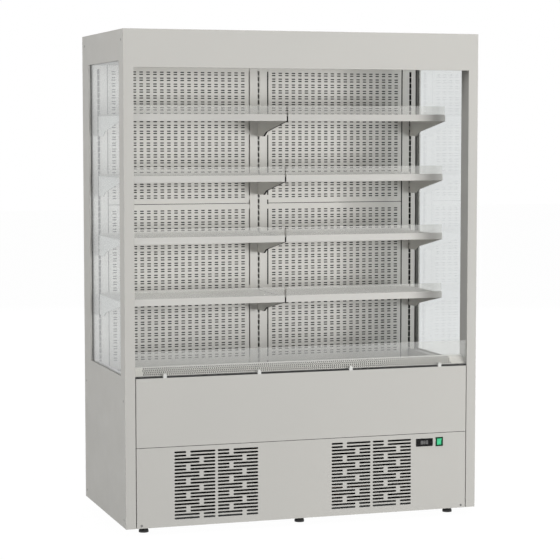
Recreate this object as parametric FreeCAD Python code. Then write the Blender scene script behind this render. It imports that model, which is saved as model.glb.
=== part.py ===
import FreeCAD, Part
import math
import os

os.makedirs("parts", exist_ok=True)
V = FreeCAD.Vector

# Open multideck display fridge. Millimetres, +Z up, the shopper stands on the -Y side.
# The origin is on the floor, in the middle of the width and of the depth.

# ---- driving sizes -------------------------------------------------------
width = 1500.0
depth = 745.0
height = 2000.0
control_proud = 3.0          # how far the control fascia stands out of the front sheets
foot_height = 30.0           # free height under the body

wall_t = 10.0                # side wall at the window
post_w = 40.5                # width of the front posts
post_d = 75.0                # depth of the front posts
window_y0 = 75.0             # side window, measured back from the front face
window_y1 = 620.0
window_z0 = 633.0
window_z1 = 1878.0
glass_lap = 12.0             # how far a pane runs behind the window edge
pane_t = 4.0

rear_t = 50.0                # insulated rear wall
roof_t = 55.0                # insulated roof
header_h = 149.0
canopy_h = 120.0             # roof top to the underside of the canopy liner
sheet = 1.2                  # painted steel sheet
flange = 22.0                # turned-back edges of the front sheets

lower_panel_top = 350.5
panel_gap = 2.0
panel_side_gap = 3.5
mid_panel_top = 628.0
tub_floor = 405.0
tub_bottom = 360.0
tub_front_t = 28.0
deck_z = 585.0

duct_y = 636.0               # front face of the perforated back panels
upright_proud = 3.0          # how far the uprights stand in front of those panels
upright_half = 39.0
column_x = 706.0             # slot columns at x = 0 and at plus and minus this value
outer_upright_in = 669.0
outer_upright_out = 731.0
slot_pitch = 25.1
slot_z = 1600.0              # one slot of every column is centred here
panel_edge = 4.0             # dark line between a panel and an outer upright
centre_edge = 4.8            # the same beside the centre upright

perf_pitch_x = 30.0
perf_pitch_z = 25.0
perf_w = 16.0
perf_h = 4.0
perf_pair = 9.7

tiers = 4
tier_slots = 10              # slots from one tier to the next
shelf_y = 260.0              # shelf front, measured back from the front face
top_shelf_y = 236.0
shelf_rise = 46.4            # shelf lip top above the upper hooked slot
lip_h = 28.0
riser_h = 35.0
riser_t = 3.0
shelf_gap = 3.0              # from the middle of the fridge to the end of a shelf
bracket_t = 2.0
run_gap = 0.3                # free play between pieces that move and their neighbours

foot_r = 20.0
stud_r = 6.0
foot_x = 659.0
foot_y = 80.0

# ---- derived levels ------------------------------------------------------
front = -depth / 2 + control_proud
rear = depth / 2
half = width / 2
inner = half - wall_t
post_in = half - post_w
base = foot_height
top = height
rear_in = rear - rear_t
roof_low = top - roof_t
liner_z = top - canopy_h
header_low = top - header_h
pan_z = base + 40.0
pan_t = 2.0
panel_half = post_in - panel_side_gap


def box(x0, x1, y0, y1, z0, z1):
    return Part.makeBox(x1 - x0, y1 - y0, z1 - z0, V(x0, y0, z0))


def cyl(r, length, pos, direction):
    return Part.makeCylinder(r, length, V(*pos), V(*direction))


def poly_yz(points, x0, x1):
    wire = Part.makePolygon([V(x0, p[0], p[1]) for p in points + points[:1]])
    return Part.Face(wire).extrude(V(x1 - x0, 0, 0))


def fuse(shapes):
    return shapes[0].multiFuse(shapes[1:]).removeSplitter()


def rect_wire(x, z, w, h, y):
    a = [(x - w / 2, z - h / 2), (x + w / 2, z - h / 2), (x + w / 2, z + h / 2), (x - w / 2, z + h / 2)]
    return Part.makePolygon([V(p[0], y, p[1]) for p in a + a[:1]])


def slot_wire(x, z, w, h, y):
    r = h / 2
    a = V(x - w / 2 + r, y, z + r)
    b = V(x + w / 2 - r, y, z + r)
    c = V(x + w / 2 - r, y, z - r)
    d = V(x - w / 2 + r, y, z - r)
    right = Part.Arc(b, V(x + w / 2, y, z), c).toShape()
    left = Part.Arc(d, V(x - w / 2, y, z), a).toShape()
    return Part.Wire([Part.makeLine(a, b), right, Part.makeLine(c, d), left])


def holed_face(outer, holes):
    face = Part.Face(outer)
    n = face.normalAt(0, 0)
    for h in holes:
        if Part.Face(h).normalAt(0, 0).dot(n) > 0:
            h.reverse()
    face.cutHoles(holes)
    return face


def pierced(outer, holes, thick):
    return holed_face(outer, holes).extrude(V(0, thick, 0))


def mirror_x(shape):
    return shape.mirror(V(0, 0, 0), V(1, 0, 0))


def save(name, shapes):
    if not isinstance(shapes, list):
        shapes = [shapes]
    solids = []
    for s in shapes:
        solids.extend(s.Solids)
    out = solids[0] if len(solids) == 1 else Part.makeCompound(solids)
    out.exportStep("parts/" + name + ".step")


# ---- base frame: two hollow rails, three cross rails and the floor pan -----
rail_w = 50.0
rail_t = 3.0
rail_top = pan_z - pan_t
front_rail = front + foot_y - rail_w / 2
rear_rail = rear - foot_y - rail_w / 2


def rail(x0, x1, y0, y1, along_x):
    outer = box(x0, x1, y0, y1, base, rail_top)
    if along_x:
        return outer.cut(box(x0 - 1, x1 + 1, y0 + rail_t, y1 - rail_t, base + rail_t, rail_top - rail_t))
    return outer.cut(box(x0 + rail_t, x1 - rail_t, y0 - 1, y1 + 1, base + rail_t, rail_top - rail_t))


tab_x = 687.0
screw_z = base + 11.0
frame_parts = [rail(-post_in, post_in, front_rail, front_rail + rail_w, True),
               rail(-inner, inner, rear_rail, rear_rail + rail_w, True)]
for x in (-post_in, -rail_w / 2, post_in - rail_w):
    frame_parts.append(rail(x, x + rail_w, front_rail + rail_w, rear_rail, False))
frame_parts.append(box(-inner, inner, front + post_d, rear, rail_top, pan_z))
frame_parts.append(box(-panel_half, panel_half, front + flange, front + post_d, rail_top, pan_z))
for s in (-1, 1):
    x0 = min(s * (tab_x - 12), s * (tab_x + 12))
    frame_parts.append(box(x0, x0 + 24, front + sheet, front + sheet + 2, base + sheet, pan_z))
    frame_parts.append(box(x0, x0 + 24, front + sheet, front + flange, rail_top, pan_z))
base_frame = fuse(frame_parts)
foot_places = [(x, y) for y in (front + foot_y, rear - foot_y) for x in (-foot_x, 0.0, foot_x)]
for x, y in foot_places:
    base_frame = base_frame.cut(cyl(stud_r + run_gap, rail_t + 2, (x, y, base - 1), (0, 0, 1)))
for s in (-1, 1):
    base_frame = base_frame.cut(cyl(2.2, 12, (s * tab_x, front, screw_z), (0, 1, 0)))
save("base_frame", base_frame)

# ---- levelling feet: a cup foot with its stud, screwed up into the rails -----
foot_names = ["front_left", "front_middle", "front_right", "rear_left", "rear_middle", "rear_right"]
for name, (x, y) in zip(foot_names, foot_places):
    profile = [(0, 0), (foot_r, 0), (foot_r, 7), (foot_r - 3, 14), (stud_r + 5, 17), (stud_r + 5, base - run_gap),
               (stud_r, base - run_gap), (stud_r, rail_top - rail_t - 3), (0, rail_top - rail_t - 3)]
    wire = Part.makePolygon([V(p[0], 0, p[1]) for p in profile + profile[:1]])
    foot = Part.Face(wire).revolve(V(0, 0, 0), V(0, 0, 1), 360)
    foot.translate(V(x, y, 0))
    save("foot_" + name, foot)

# ---- side walls: outer sheet, window frame and front post in one piece -------
side_screws = [(40.0, top - 42.0), (701.0, top - 42.0), (35.0, 537.0), (709.0, 536.0), (35.0, 62.0), (709.0, 62.0)]
screw_head = 5.5
screw_sink = 2.5
side = box(inner, half, front, rear, base, top)
side = side.fuse(box(post_in, inner, front, front + post_d, base, top)).removeSplitter()
side = side.cut(box(inner - 1, half + 1, front + window_y0, front + window_y1, window_z0, window_z1))
pane_box = (front + window_y0 - glass_lap, front + window_y1 + glass_lap, window_z0 - glass_lap, window_z1 + glass_lap)
side = side.cut(box(inner, inner + pane_t, *pane_box))
for d, z in side_screws:
    side = side.cut(cyl(screw_head + 0.5, screw_sink, (half - screw_sink, front + d, z), (1, 0, 0)))
    side = side.cut(cyl(2.5, 8, (half - 8, front + d, z), (1, 0, 0)))
save("side_panel_right", side)
save("side_panel_left", mirror_x(side))

# ---- side window panes -----------------------------------------------------
pane = box(inner, inner + pane_t, *pane_box)
save("side_glass", [pane, mirror_x(pane)])

# ---- insulated rear wall with warm-air slots, and insulated roof -------------
vent_x0 = -560.0
vent_x1 = -200.0
rear_wall = box(-inner, inner, rear_in, rear, pan_z, top)
for k in range(10):
    rear_wall = rear_wall.cut(box(vent_x0, vent_x1, rear_in - 1, rear + 1, pan_z + 30 + 24 * k, pan_z + 42 + 24 * k))
save("rear_wall", rear_wall)

roof = fuse([box(-inner, inner, front + post_d, rear_in, roof_low, top),
             box(-post_in, post_in, front + flange, front + post_d, roof_low, top)])
save("roof_panel", roof)

# ---- insulated tub under the deck: walls, floor, tray ledges ------------------
ledge_w = 19.5
tray_t = 1.5
ledge_top = deck_z - tray_t
tub_top = mid_panel_top - 1.0
tub = fuse([box(-inner, inner, front + post_d, rear_in, tub_bottom, tub_top),
            box(-post_in, post_in, front + flange, front + post_d, tub_bottom, tub_top)])
tub = tub.cut(box(-post_in, post_in, front + flange + tub_front_t, rear_in + 1, tub_floor, tub_top + 1))
ledges = [box(post_in - ledge_w, post_in, front + flange + tub_front_t, front + duct_y - 16, ledge_top - 20, ledge_top)]
ledges.append(mirror_x(ledges[0]))
ledges.append(box(-12, 12, front + flange + tub_front_t, front + duct_y - 16, ledge_top - 20, ledge_top))
tub = tub.fuse(ledges).removeSplitter()
pipe_hole = 14.0
suction_x = -640.0
liquid_x = 640.0
pipe_y = front + 510.0
drain_x = 380.0
tub = tub.cut(cyl(pipe_hole, 60, (suction_x, pipe_y, tub_bottom - 5), (0, 0, 1)))
tub = tub.cut(cyl(pipe_hole, 60, (liquid_x, pipe_y - 150, tub_bottom - 5), (0, 0, 1)))
tub = tub.cut(cyl(pipe_hole, 60, (drain_x, front + 430, tub_bottom - 5), (0, 0, 1)))
save("insulated_tub", tub)

# ---- slotted uprights: folded channels with tabs that carry the back panels ---
upright_y = front + duct_y - upright_proud
face_t = 2.0
panel_t = 1.2
upright_top = liner_z - 2.0
tab_levels = [deck_z + 15, deck_z + 330, deck_z + 680, deck_z + 720, deck_z + 1000, upright_top - 20]


def slots(x, w, h, z_low):
    wires = []
    n0 = math.ceil((z_low + 20 - slot_z) / slot_pitch)
    n1 = math.floor((upright_top - 15 - slot_z) / slot_pitch)
    for n in range(n0, n1 + 1):
        wires.append(rect_wire(x, slot_z + slot_pitch * n, w, h, upright_y))
    return wires


def upright(x0, x1, slot_x, slot_w, slot_h, tab_sides):
    zc = (tub_floor + upright_top) / 2
    plate = pierced(rect_wire((x0 + x1) / 2, zc, x1 - x0, upright_top - tub_floor, upright_y),
                    slots(slot_x, slot_w, slot_h, deck_z - 20), face_t)
    back = rear_in
    pieces = [plate]
    pieces.append(box(x0, x0 + face_t, upright_y + face_t, back, tub_floor, upright_top))
    pieces.append(box(x1 - face_t, x1, upright_y + face_t, back, tub_floor, upright_top))
    tab_y = front + duct_y + panel_t
    for z in tab_levels:
        if "low" in tab_sides:
            pieces.append(box(x0 - 20, x0, tab_y, tab_y + face_t, z, z + 20))
        if "high" in tab_sides:
            pieces.append(box(x1, x1 + 20, tab_y, tab_y + face_t, z, z + 20))
    return fuse(pieces)


centre_slot_w = 8.4
centre_slot_h = 19.0
outer_slot_w = 10.0
outer_slot_h = 22.8
centre_upright = upright(-upright_half, upright_half, 0.0, centre_slot_w, centre_slot_h, ("low", "high"))
outer_upright = upright(outer_upright_in, outer_upright_out, column_x, outer_slot_w, outer_slot_h, ("low",))
outer_upright = outer_upright.cut(box(post_in, inner, front + post_d, rear, tub_floor - 1, tub_top))
save("shelf_uprights", [mirror_x(outer_upright), centre_upright, outer_upright])

# ---- perforated back panels: two butted sheets per half, two courses ------------
seam_z = 1290.0
seam_gap = 2.4
perf_first_x = 70.0
perf_columns = 20
lower_first = 631.6
lower_pairs = 26
upper_first = 1321.5
upper_pairs = 22
panel_x0 = upright_half + centre_edge
panel_x1 = outer_upright_in - panel_edge
panel_mid = perf_first_x + perf_pitch_x * (perf_columns - 1) / 2
panel_top = liner_z - 1.0
panel_low = deck_z + 1.0


def back_panel(x0, x1, z0, z1, first, pairs):
    # each opening spans one pair of short slots
    holes = []
    y = front + duct_y
    for i in range(perf_columns):
        x = perf_first_x + perf_pitch_x * i
        if x0 < x < x1:
            for k in range(pairs):
                holes.append(rect_wire(x, first + perf_pitch_z * k, perf_w, perf_pair + perf_h, y))
    return pierced(rect_wire((x0 + x1) / 2, (z0 + z1) / 2, x1 - x0, z1 - z0, y), holes, panel_t)


sheets = []
for x0, x1 in ((panel_x0, panel_mid), (panel_mid, panel_x1)):
    sheets.append(back_panel(x0, x1, panel_low, seam_z - seam_gap / 2, lower_first, lower_pairs))
    sheets.append(back_panel(x0, x1, seam_z + seam_gap / 2, panel_top, upper_first, upper_pairs))
save("perforated_back_panels", sheets + [mirror_x(s) for s in sheets])

# ---- shelves, each with its clear front riser ---------------------------------
shelf_x0 = shelf_gap
shelf_x1 = column_x - bracket_t / 2 - 0.8
shelf_rear = duct_y - upright_proud - 3.0
tray_drop = 7.0              # tray surface below the top of the lip
shelf_t = 1.2
hem_y = 4.8


def tier_z(i):
    # level of the lip top, counted from the top tier down
    return slot_z + slot_pitch + shelf_rise - i * tier_slots * slot_pitch


def tier_y(i):
    return front + (top_shelf_y if i == 0 else shelf_y)


for i in range(tiers):
    z = tier_z(i)
    y = tier_y(i)
    deck = z - tray_drop
    section = [(y, z - lip_h), (y + shelf_t, z - lip_h), (y + shelf_t, deck - shelf_t),
               (front + shelf_rear, deck - shelf_t), (front + shelf_rear, deck + 8), (front + shelf_rear - shelf_t, deck + 8),
               (front + shelf_rear - shelf_t, deck), (y + hem_y + shelf_t, deck), (y + hem_y + shelf_t, z - 1),
               (y + hem_y, z - 1), (y + hem_y, deck), (y + shelf_t, deck), (y + shelf_t, z), (y, z)]
    tray = poly_yz(section, shelf_x0, shelf_x1)
    riser_y = y + hem_y - riser_t - run_gap
    riser = box(shelf_x0 + 1, shelf_x1 - 1, riser_y, riser_y + riser_t, deck, z + riser_h)
    for s, side_name in ((-1, "left"), (1, "right")):
        tag = side_name + "_" + str(i + 1)
        save("shelf_" + tag, tray if s > 0 else mirror_x(tray))
        save("shelf_riser_" + tag, riser if s > 0 else mirror_x(riser))

# ---- shelf brackets: hooked plates with a rest turned in under the shelf -------
bracket_knee_y = 516.0
bracket_foot_y = 553.0
bracket_knee = 45.0          # below the lip
bracket_deep = 64.0
rest_w = 14.0
hook_neck = 10.0
hook_drop = 8.0
hook_depth = 5.0


def bracket(i, x0, rest_dir, slot_h):
    z = tier_z(i)
    y = tier_y(i)
    rest_z = z - tray_drop - shelf_t - run_gap
    low = z - lip_h
    nose = y + shelf_t + 1.5
    back = upright_y
    inside = upright_y + face_t
    upper_slot = z - shelf_rise
    pts = [(nose, rest_z), (nose, low), (front + bracket_knee_y, low - bracket_knee),
           (front + bracket_foot_y, low - bracket_deep), (back, low - bracket_deep)]
    for n in (1, 0):
        zs = upper_slot - n * slot_pitch
        neck_low = zs - slot_h / 2
        pts += [(back, neck_low), (inside, neck_low), (inside, neck_low - hook_drop),
                (inside + hook_depth, neck_low - hook_drop), (inside + hook_depth, neck_low + hook_neck),
                (back, neck_low + hook_neck)]
    pts.append((back, rest_z))
    plate = poly_yz(pts, x0, x0 + bracket_t)
    rx0 = x0 + bracket_t if rest_dir > 0 else x0 - rest_w
    rest = box(rx0, rx0 + rest_w, nose, back, rest_z - bracket_t, rest_z)
    return plate.fuse(rest).removeSplitter()


brackets = []
centre_clear = 1.9
for i in range(tiers):
    near = bracket(i, centre_clear, 1, centre_slot_h)
    far = bracket(i, column_x - bracket_t / 2, -1, outer_slot_h)
    brackets += [near, far, mirror_x(near), mirror_x(far)]
save("shelf_brackets", brackets)

# ---- deck trays over the tub ---------------------------------------------------
grille_back = 72.0
tray_y0 = front + grille_back + sheet + 1.0
tray_y1 = front + duct_y - upright_proud - 1.0
deck_tray = fuse([box(1, post_in - 1.5, tray_y0, tray_y1, ledge_top, deck_z),
                  box(20, post_in - ledge_w - 5, front + 250, front + 252, ledge_top - 10, ledge_top),
                  box(20, post_in - ledge_w - 5, front + 450, front + 452, ledge_top - 10, ledge_top)])
save("deck_trays", [deck_tray, mirror_x(deck_tray)])

# ---- return-air grille: pierced slope, flat top, rear leg, end cheeks -----------
slope_y0 = 20.0
slope_z0 = 635.0
slope_y1 = 55.0
slope_z1 = 667.0
air_slot_w = 5.0
air_slot_h = 8.6
air_pitch_x = 8.7
air_pitch_s = 10.5
air_x0 = -668.0
air_x1 = 646.0
grille_half = post_in - 1.0
slope_len = math.hypot(slope_y1 - slope_y0, slope_z1 - slope_z0)
air_rows = 4
tilt = math.degrees(math.atan2(slope_y1 - slope_y0, slope_z1 - slope_z0))
ramp = sheet * math.cos(math.radians(tilt))
ramp_z = sheet * math.sin(math.radians(tilt))
crown = [(front + slope_y1, slope_z1), (front + grille_back + sheet, slope_z1), (front + grille_back + sheet, ledge_top),
         (front + grille_back, ledge_top), (front + grille_back, slope_z1 - ramp_z), (front + slope_y1 + ramp, slope_z1 - ramp_z)]
cheek = [(front + slope_y0 + ramp, slope_z0 - ramp_z), (front + slope_y1 + ramp, slope_z1 - ramp_z),
         (front + grille_back, slope_z1 - ramp_z), (front + grille_back, mid_panel_top - 1), (front + slope_y0 + 4, mid_panel_top - 1)]
holes = []
for r in range(air_rows):
    v = slope_len / 2 + (r - (air_rows - 1) / 2) * air_pitch_s
    x = air_x0 + (air_pitch_x / 2 if r % 2 else 0)
    while x < air_x1:
        holes.append(rect_wire(x, v, air_slot_w, air_slot_h, 0))
        x += air_pitch_x
slope = pierced(rect_wire(0, slope_len / 2, 2 * grille_half, slope_len, 0), holes, sheet)
slope.rotate(V(0, 0, 0), V(1, 0, 0), -tilt)
slope.translate(V(0, front + slope_y0, slope_z0))
grille = [poly_yz(crown, -grille_half, grille_half)]
for x in (-grille_half, grille_half - sheet):
    grille.append(poly_yz(cheek, x, x + sheet))
save("return_air_grille", slope.fuse(grille))

# ---- front riser glass, the clips that hold it and the rubber strip it stands in ----
glass_y = front + 5.0
glass_t = 6.0
glass_top = 733.5
clip_x = (588.0, 196.0)
clip_w = 14.0
clip_round = 5.0
clip_h = 17.0
clip_y0 = front + 0.5
clip_y1 = front + 16.0
glass_low = mid_panel_top + 2.5
front_glass = box(-post_in + 1, post_in - 1, glass_y, glass_y + glass_t, glass_low, glass_top)
save("front_glass", front_glass)
clips = []
for x in (-clip_x[0], -clip_x[1], clip_x[1], clip_x[0]):
    clip = box(x - clip_w / 2, x + clip_w / 2, clip_y0, clip_y1, mid_panel_top, mid_panel_top + clip_h)
    tops = [e for e in clip.Edges if e.BoundBox.YLength > 5 and e.BoundBox.ZMin > mid_panel_top + 5]
    clip = clip.makeFillet(clip_round, tops)
    clips.append(clip.cut(box(x - clip_w, x + clip_w, glass_y, glass_y + glass_t, glass_low, glass_top)))
seal_y0 = glass_y - 1.5
seal_y1 = glass_y + glass_t + 1.5
seal_top = glass_low + 1.8
ends = [-post_in + 1]
for x in (-clip_x[0], -clip_x[1], clip_x[1], clip_x[0]):
    ends += [x - clip_w / 2 - run_gap, x + clip_w / 2 + run_gap]
ends.append(post_in - 1)
for x0, x1 in zip(ends[0::2], ends[1::2]):
    seal = box(x0, x1, seal_y0, seal_y1, mid_panel_top, seal_top)
    clips.append(seal.cut(box(x0 - 1, x1 + 1, glass_y, glass_y + glass_t, glass_low, seal_top + 1)))
save("glass_clips", clips)

# ---- front sheets ------------------------------------------------------------


def tray_front(x_half, z0, z1, turn):
    face = box(-x_half, x_half, front, front + sheet, z0, z1)
    rim = [box(-x_half, x_half, front + sheet, front + turn, z1 - sheet, z1),
           box(-x_half, x_half, front + sheet, front + turn, z0, z0 + sheet),
           box(-x_half, -x_half + sheet, front + sheet, front + turn, z0 + sheet, z1 - sheet),
           box(x_half - sheet, x_half, front + sheet, front + turn, z0 + sheet, z1 - sheet)]
    return fuse([face] + rim)


save("header_fascia", tray_front(post_in, header_low, top, flange))
mid_panel = tray_front(panel_half, lower_panel_top + panel_gap, mid_panel_top, flange)
save("mid_front_panel", mid_panel)

# lower front sheet: two zones of air slots, cut-outs for the controller and the switch
slot_h = 7.8
slot_short = 49.0
slot_long = 104.0
slot_between = 16.5
row_pitch = 14.0
rows = 20
first_row = 328.0
block_pitch = 179.7
zone_x = (-551.6, 112.5)
control_x = 520.5            # middle of the controller
control_z = 314.0
control_w = 74.0
control_h = 32.4
cutout_w = 71.0
cutout_h = 29.0
switch_x = 587.5
switch_z = 314.25
switch_w = 32.0
switch_h = 37.7
switch_body_w = 27.0
switch_body_h = 32.5
label_t = 0.5
label_x0 = 469.0
label_x1 = 567.5
label_z0 = 289.0
label_z1 = 343.0

air = []
for zone in zone_x:
    for b in range(2):
        x0 = zone + b * block_pitch
        for r in range(rows):
            z = first_row - row_pitch * r
            lead = slot_short if (r // 2) % 2 == 0 else slot_long
            rest_len = slot_short + slot_long - lead
            air.append(slot_wire(x0 + lead / 2, z, lead, slot_h, front))
            air.append(slot_wire(x0 + lead + slot_between + rest_len / 2, z, rest_len, slot_h, front))
air.append(rect_wire(control_x, control_z, cutout_w, cutout_h, front))
air.append(rect_wire(switch_x, switch_z, switch_body_w + 0.4, switch_body_h + 0.4, front))
for s in (-1, 1):
    air.append(Part.Wire([Part.makeCircle(2.2, V(s * tab_x, front, screw_z), V(0, 1, 0))]))
zm = (base + lower_panel_top) / 2
face = pierced(rect_wire(0, zm, 2 * panel_half, lower_panel_top - base, front), air, sheet)
rim = [box(-panel_half, panel_half, front + sheet, front + flange, lower_panel_top - sheet, lower_panel_top),
       box(-panel_half, panel_half, front + sheet, front + flange, base, base + sheet),
       box(-panel_half, -panel_half + sheet, front + sheet, front + flange, base + sheet, lower_panel_top - sheet),
       box(panel_half - sheet, panel_half, front + sheet, front + flange, base + sheet, lower_panel_top - sheet)]
plate_ring = box(label_x0, label_x1, front - label_t, front, label_z0, label_z1)
plate_ring = plate_ring.cut(box(control_x - cutout_w / 2, control_x + cutout_w / 2, front - 1, front + 1,
                                control_z - cutout_h / 2, control_z + cutout_h / 2))
save("lower_front_panel", face.fuse(rim + [plate_ring]))

# ---- canopy: liner, air outlet, lamp --------------------------------------------
outlet_y0 = 50.0
outlet_y1 = 128.0
outlet_h = 14.0
save("canopy_liner", box(-inner, inner, front + outlet_y1 - 6, front + duct_y + panel_t, liner_z, liner_z + sheet))
cell_x = 18.6
cell_y = 11.6
cell_wall = 1.4
outlet_half = post_in - 0.5
nx = int((outlet_half - 8) / (cell_x + cell_wall))
ny = int((outlet_y1 - outlet_y0 - 6) / (cell_y + cell_wall))
cells = []
for i in range(nx):
    for j in range(ny):
        x = outlet_half / 2 + (i - (nx - 1) / 2) * (cell_x + cell_wall)
        y = (j - (ny - 1) / 2) * (cell_y + cell_wall)
        cells.append(rect_wire(x, y, cell_x, cell_y, 0))
outlet = pierced(rect_wire(outlet_half / 2, 0, outlet_half, outlet_y1 - outlet_y0, 0), cells, outlet_h)
outlet.rotate(V(0, 0, 0), V(1, 0, 0), 90)
outlet.translate(V(0, front + (outlet_y0 + outlet_y1) / 2, liner_z - outlet_h))
save("air_outlet_grille", [outlet, mirror_x(outlet)])

lamp_half = 640.0
lamp_y = front + outlet_y0
lamp = fuse([box(-lamp_half, lamp_half, lamp_y - 24, lamp_y, liner_z - 8, liner_z),
             cyl(9.0, 2 * lamp_half, (-lamp_half, lamp_y - 12, liner_z - 9), (1, 0, 0))])
save("canopy_lamp", lamp)

# ---- controller: snap-in housing, display window, three keys ----------------------
bezel_y = front - label_t
bezel_t = 2.3
body_depth = 58.0
body_w = cutout_w - 0.4
body_h = cutout_h - 0.4
shell = 1.5
window_w = 42.0
window_h = 22.0
window_x = control_x - 0.5
window_t = 1.0
key = 6.4
key_play = 0.3
key_travel = 0.5
housing = box(control_x - control_w / 2, control_x + control_w / 2, bezel_y - bezel_t, bezel_y,
              control_z - control_h / 2, control_z + control_h / 2)
housing = housing.makeFillet(1.0, [e for e in housing.Edges if e.BoundBox.YLength > 1])
body = box(control_x - body_w / 2, control_x + body_w / 2, bezel_y, front + body_depth,
           control_z - body_h / 2, control_z + body_h / 2)
body = body.cut(box(control_x - body_w / 2 + shell, control_x + body_w / 2 - shell, bezel_y, front + body_depth - shell,
                    control_z - body_h / 2 + shell, control_z + body_h / 2 - shell))
board = box(control_x - body_w / 2 + shell, control_x + body_w / 2 - shell, front + 2.4, front + 4,
            control_z - body_h / 2 + shell, control_z + body_h / 2 - shell)
housing = fuse([housing, body, board])
window = box(window_x - window_w / 2, window_x + window_w / 2, bezel_y - bezel_t, bezel_y - bezel_t + window_t,
             control_z - window_h / 2, control_z + window_h / 2)
housing = housing.cut(window)
key_places = [("up", control_x - 29.0, control_z + 5.6), ("down", control_x - 29.0, control_z - 5.6),
              ("set", control_x + 29.0, control_z)]
for name, x, z in key_places:
    h = key / 2 + key_play
    housing = housing.cut(box(x - h, x + h, bezel_y - bezel_t - 1, bezel_y + 0.1, z - h, z + h))
save("controller_housing", housing)
save("controller_window", window)
for name, x, z in key_places:
    k = key / 2
    cap = box(x - k, x + k, bezel_y - bezel_t + 0.2, bezel_y + key_play + 1.2, z - k, z + k)
    collar = box(x - k - 1, x + k + 1, bezel_y + key_play, bezel_y + key_play + 1.2, z - k - 1, z + k + 1)
    stem = cyl(1.2, 0.6, (x, bezel_y + key_play + 1.2, z), (0, 1, 0))
    save("controller_key_" + name, fuse([cap, collar, stem]))

# ---- lamp switch: bezel with its case, and the rocker -------------------------------
rocker_w = 20.8
rocker_half = 13.0
rocker_play = 0.4
rocker_tilt = 7.0
pivot_y = front + 5.0
case_depth = 22.0
pin_r = 1.5
bezel = box(switch_x - switch_w / 2, switch_x + switch_w / 2, front - 2.4, front, switch_z - switch_h / 2, switch_z + switch_h / 2)
case = box(switch_x - switch_body_w / 2, switch_x + switch_body_w / 2, front, front + case_depth,
           switch_z - switch_body_h / 2, switch_z + switch_body_h / 2)
well_w = rocker_w / 2 + rocker_play
well_h = rocker_half + 1.0
switch = bezel.fuse(case).removeSplitter()
switch = switch.cut(box(switch_x - well_w, switch_x + well_w, front - 4, front + case_depth - 6, switch_z - well_h, switch_z + well_h))
switch = switch.cut(cyl(pin_r + run_gap, 2 * well_w + 3.2, (switch_x - well_w - 1.6, pivot_y, switch_z), (1, 0, 0)))
save("switch_bezel", switch)
crown_v = 3.6
ends_v = crown_v + rocker_half * math.tan(math.radians(rocker_tilt))
outline = [(rocker_half, ends_v), (0, crown_v), (-rocker_half, ends_v), (-rocker_half + 0.5, -1), (-6, -5), (6, -5), (rocker_half - 0.5, -1)]
rocker = poly_yz([(pivot_y - v, switch_z + u) for u, v in outline], switch_x - rocker_w / 2, switch_x + rocker_w / 2)
rocker = rocker.fuse(cyl(pin_r, rocker_w + 2.4, (switch_x - rocker_w / 2 - 1.2, pivot_y, switch_z), (1, 0, 0)))
rocker.rotate(V(switch_x, pivot_y, switch_z), V(1, 0, 0), rocker_tilt)
save("switch_rocker", rocker)


# ---- finned coils ------------------------------------------------------------------
def coil(x0, x1, ys, zs, r, fin_pitch, y0, y1, z0, z1, floor_z):
    solids = []
    xs = [x0 + 20]
    while xs[-1] + fin_pitch < x1 - 20:
        xs.append(xs[-1] + fin_pitch)
    outer = Part.makePolygon([V(0, y0, z0), V(0, y1, z0), V(0, y1, z1), V(0, y0, z1), V(0, y0, z0)])
    end = Part.makePolygon([V(0, y0, floor_z), V(0, y1, floor_z), V(0, y1, z1), V(0, y0, z1), V(0, y0, floor_z)])
    rings = [Part.Wire([Part.makeCircle(r, V(0, y, z), V(1, 0, 0))]) for y in ys for z in zs]
    fin = holed_face(outer, rings).extrude(V(0.6, 0, 0))
    rings = [Part.Wire([Part.makeCircle(r, V(0, y, z), V(1, 0, 0))]) for y in ys for z in zs]
    plate = holed_face(end, rings).extrude(V(2, 0, 0))
    for x in xs:
        f = fin.copy()
        f.translate(V(x, 0, 0))
        solids.append(f)
    for x in (x0 + 8, x1 - 10):
        p = plate.copy()
        p.translate(V(x, 0, 0))
        solids.append(p)
    for y in ys:
        for z in zs:
            solids.append(cyl(r, x1 - x0, (x0, y, z), (1, 0, 0)))
        for k in range(len(zs) - 1):
            at_low = k % 2 == 0
            ring = Part.makeTorus((zs[k + 1] - zs[k]) / 2, r, V(0, 0, 0), V(0, 1, 0))
            zc = (zs[k + 1] + zs[k]) / 2
            ring.translate(V(x0 if at_low else x1, y, zc))
            if at_low:
                keep = box(x0 - 60, x0, y - 20, y + 20, zc - 60, zc + 60)
            else:
                keep = box(x1, x1 + 60, y - 20, y + 20, zc - 60, zc + 60)
            solids.append(ring.common(keep))
    return solids


evap_x0 = -590.0
evap_x1 = 560.0
evap_y = [front + 360.0, front + 435.0, front + 510.0]
evap_z = [440.0, 480.0, 520.0]
save("evaporator_coil", coil(evap_x0, evap_x1, evap_y, evap_z, 5.0, 16.0, front + 335, front + 535, 420, 540, tub_floor))

cond_x0 = -552.0
cond_x1 = -206.0
cond_y = [front + 55.0, front + 85.0]
cond_z = [pan_z + 30.0 + 30.0 * k for k in range(8)]
save("condenser_coil", coil(cond_x0, cond_x1, cond_y, cond_z, 4.5, 9.0, front + 40, front + 100, pan_z + 14, pan_z + 258, pan_z))


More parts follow.
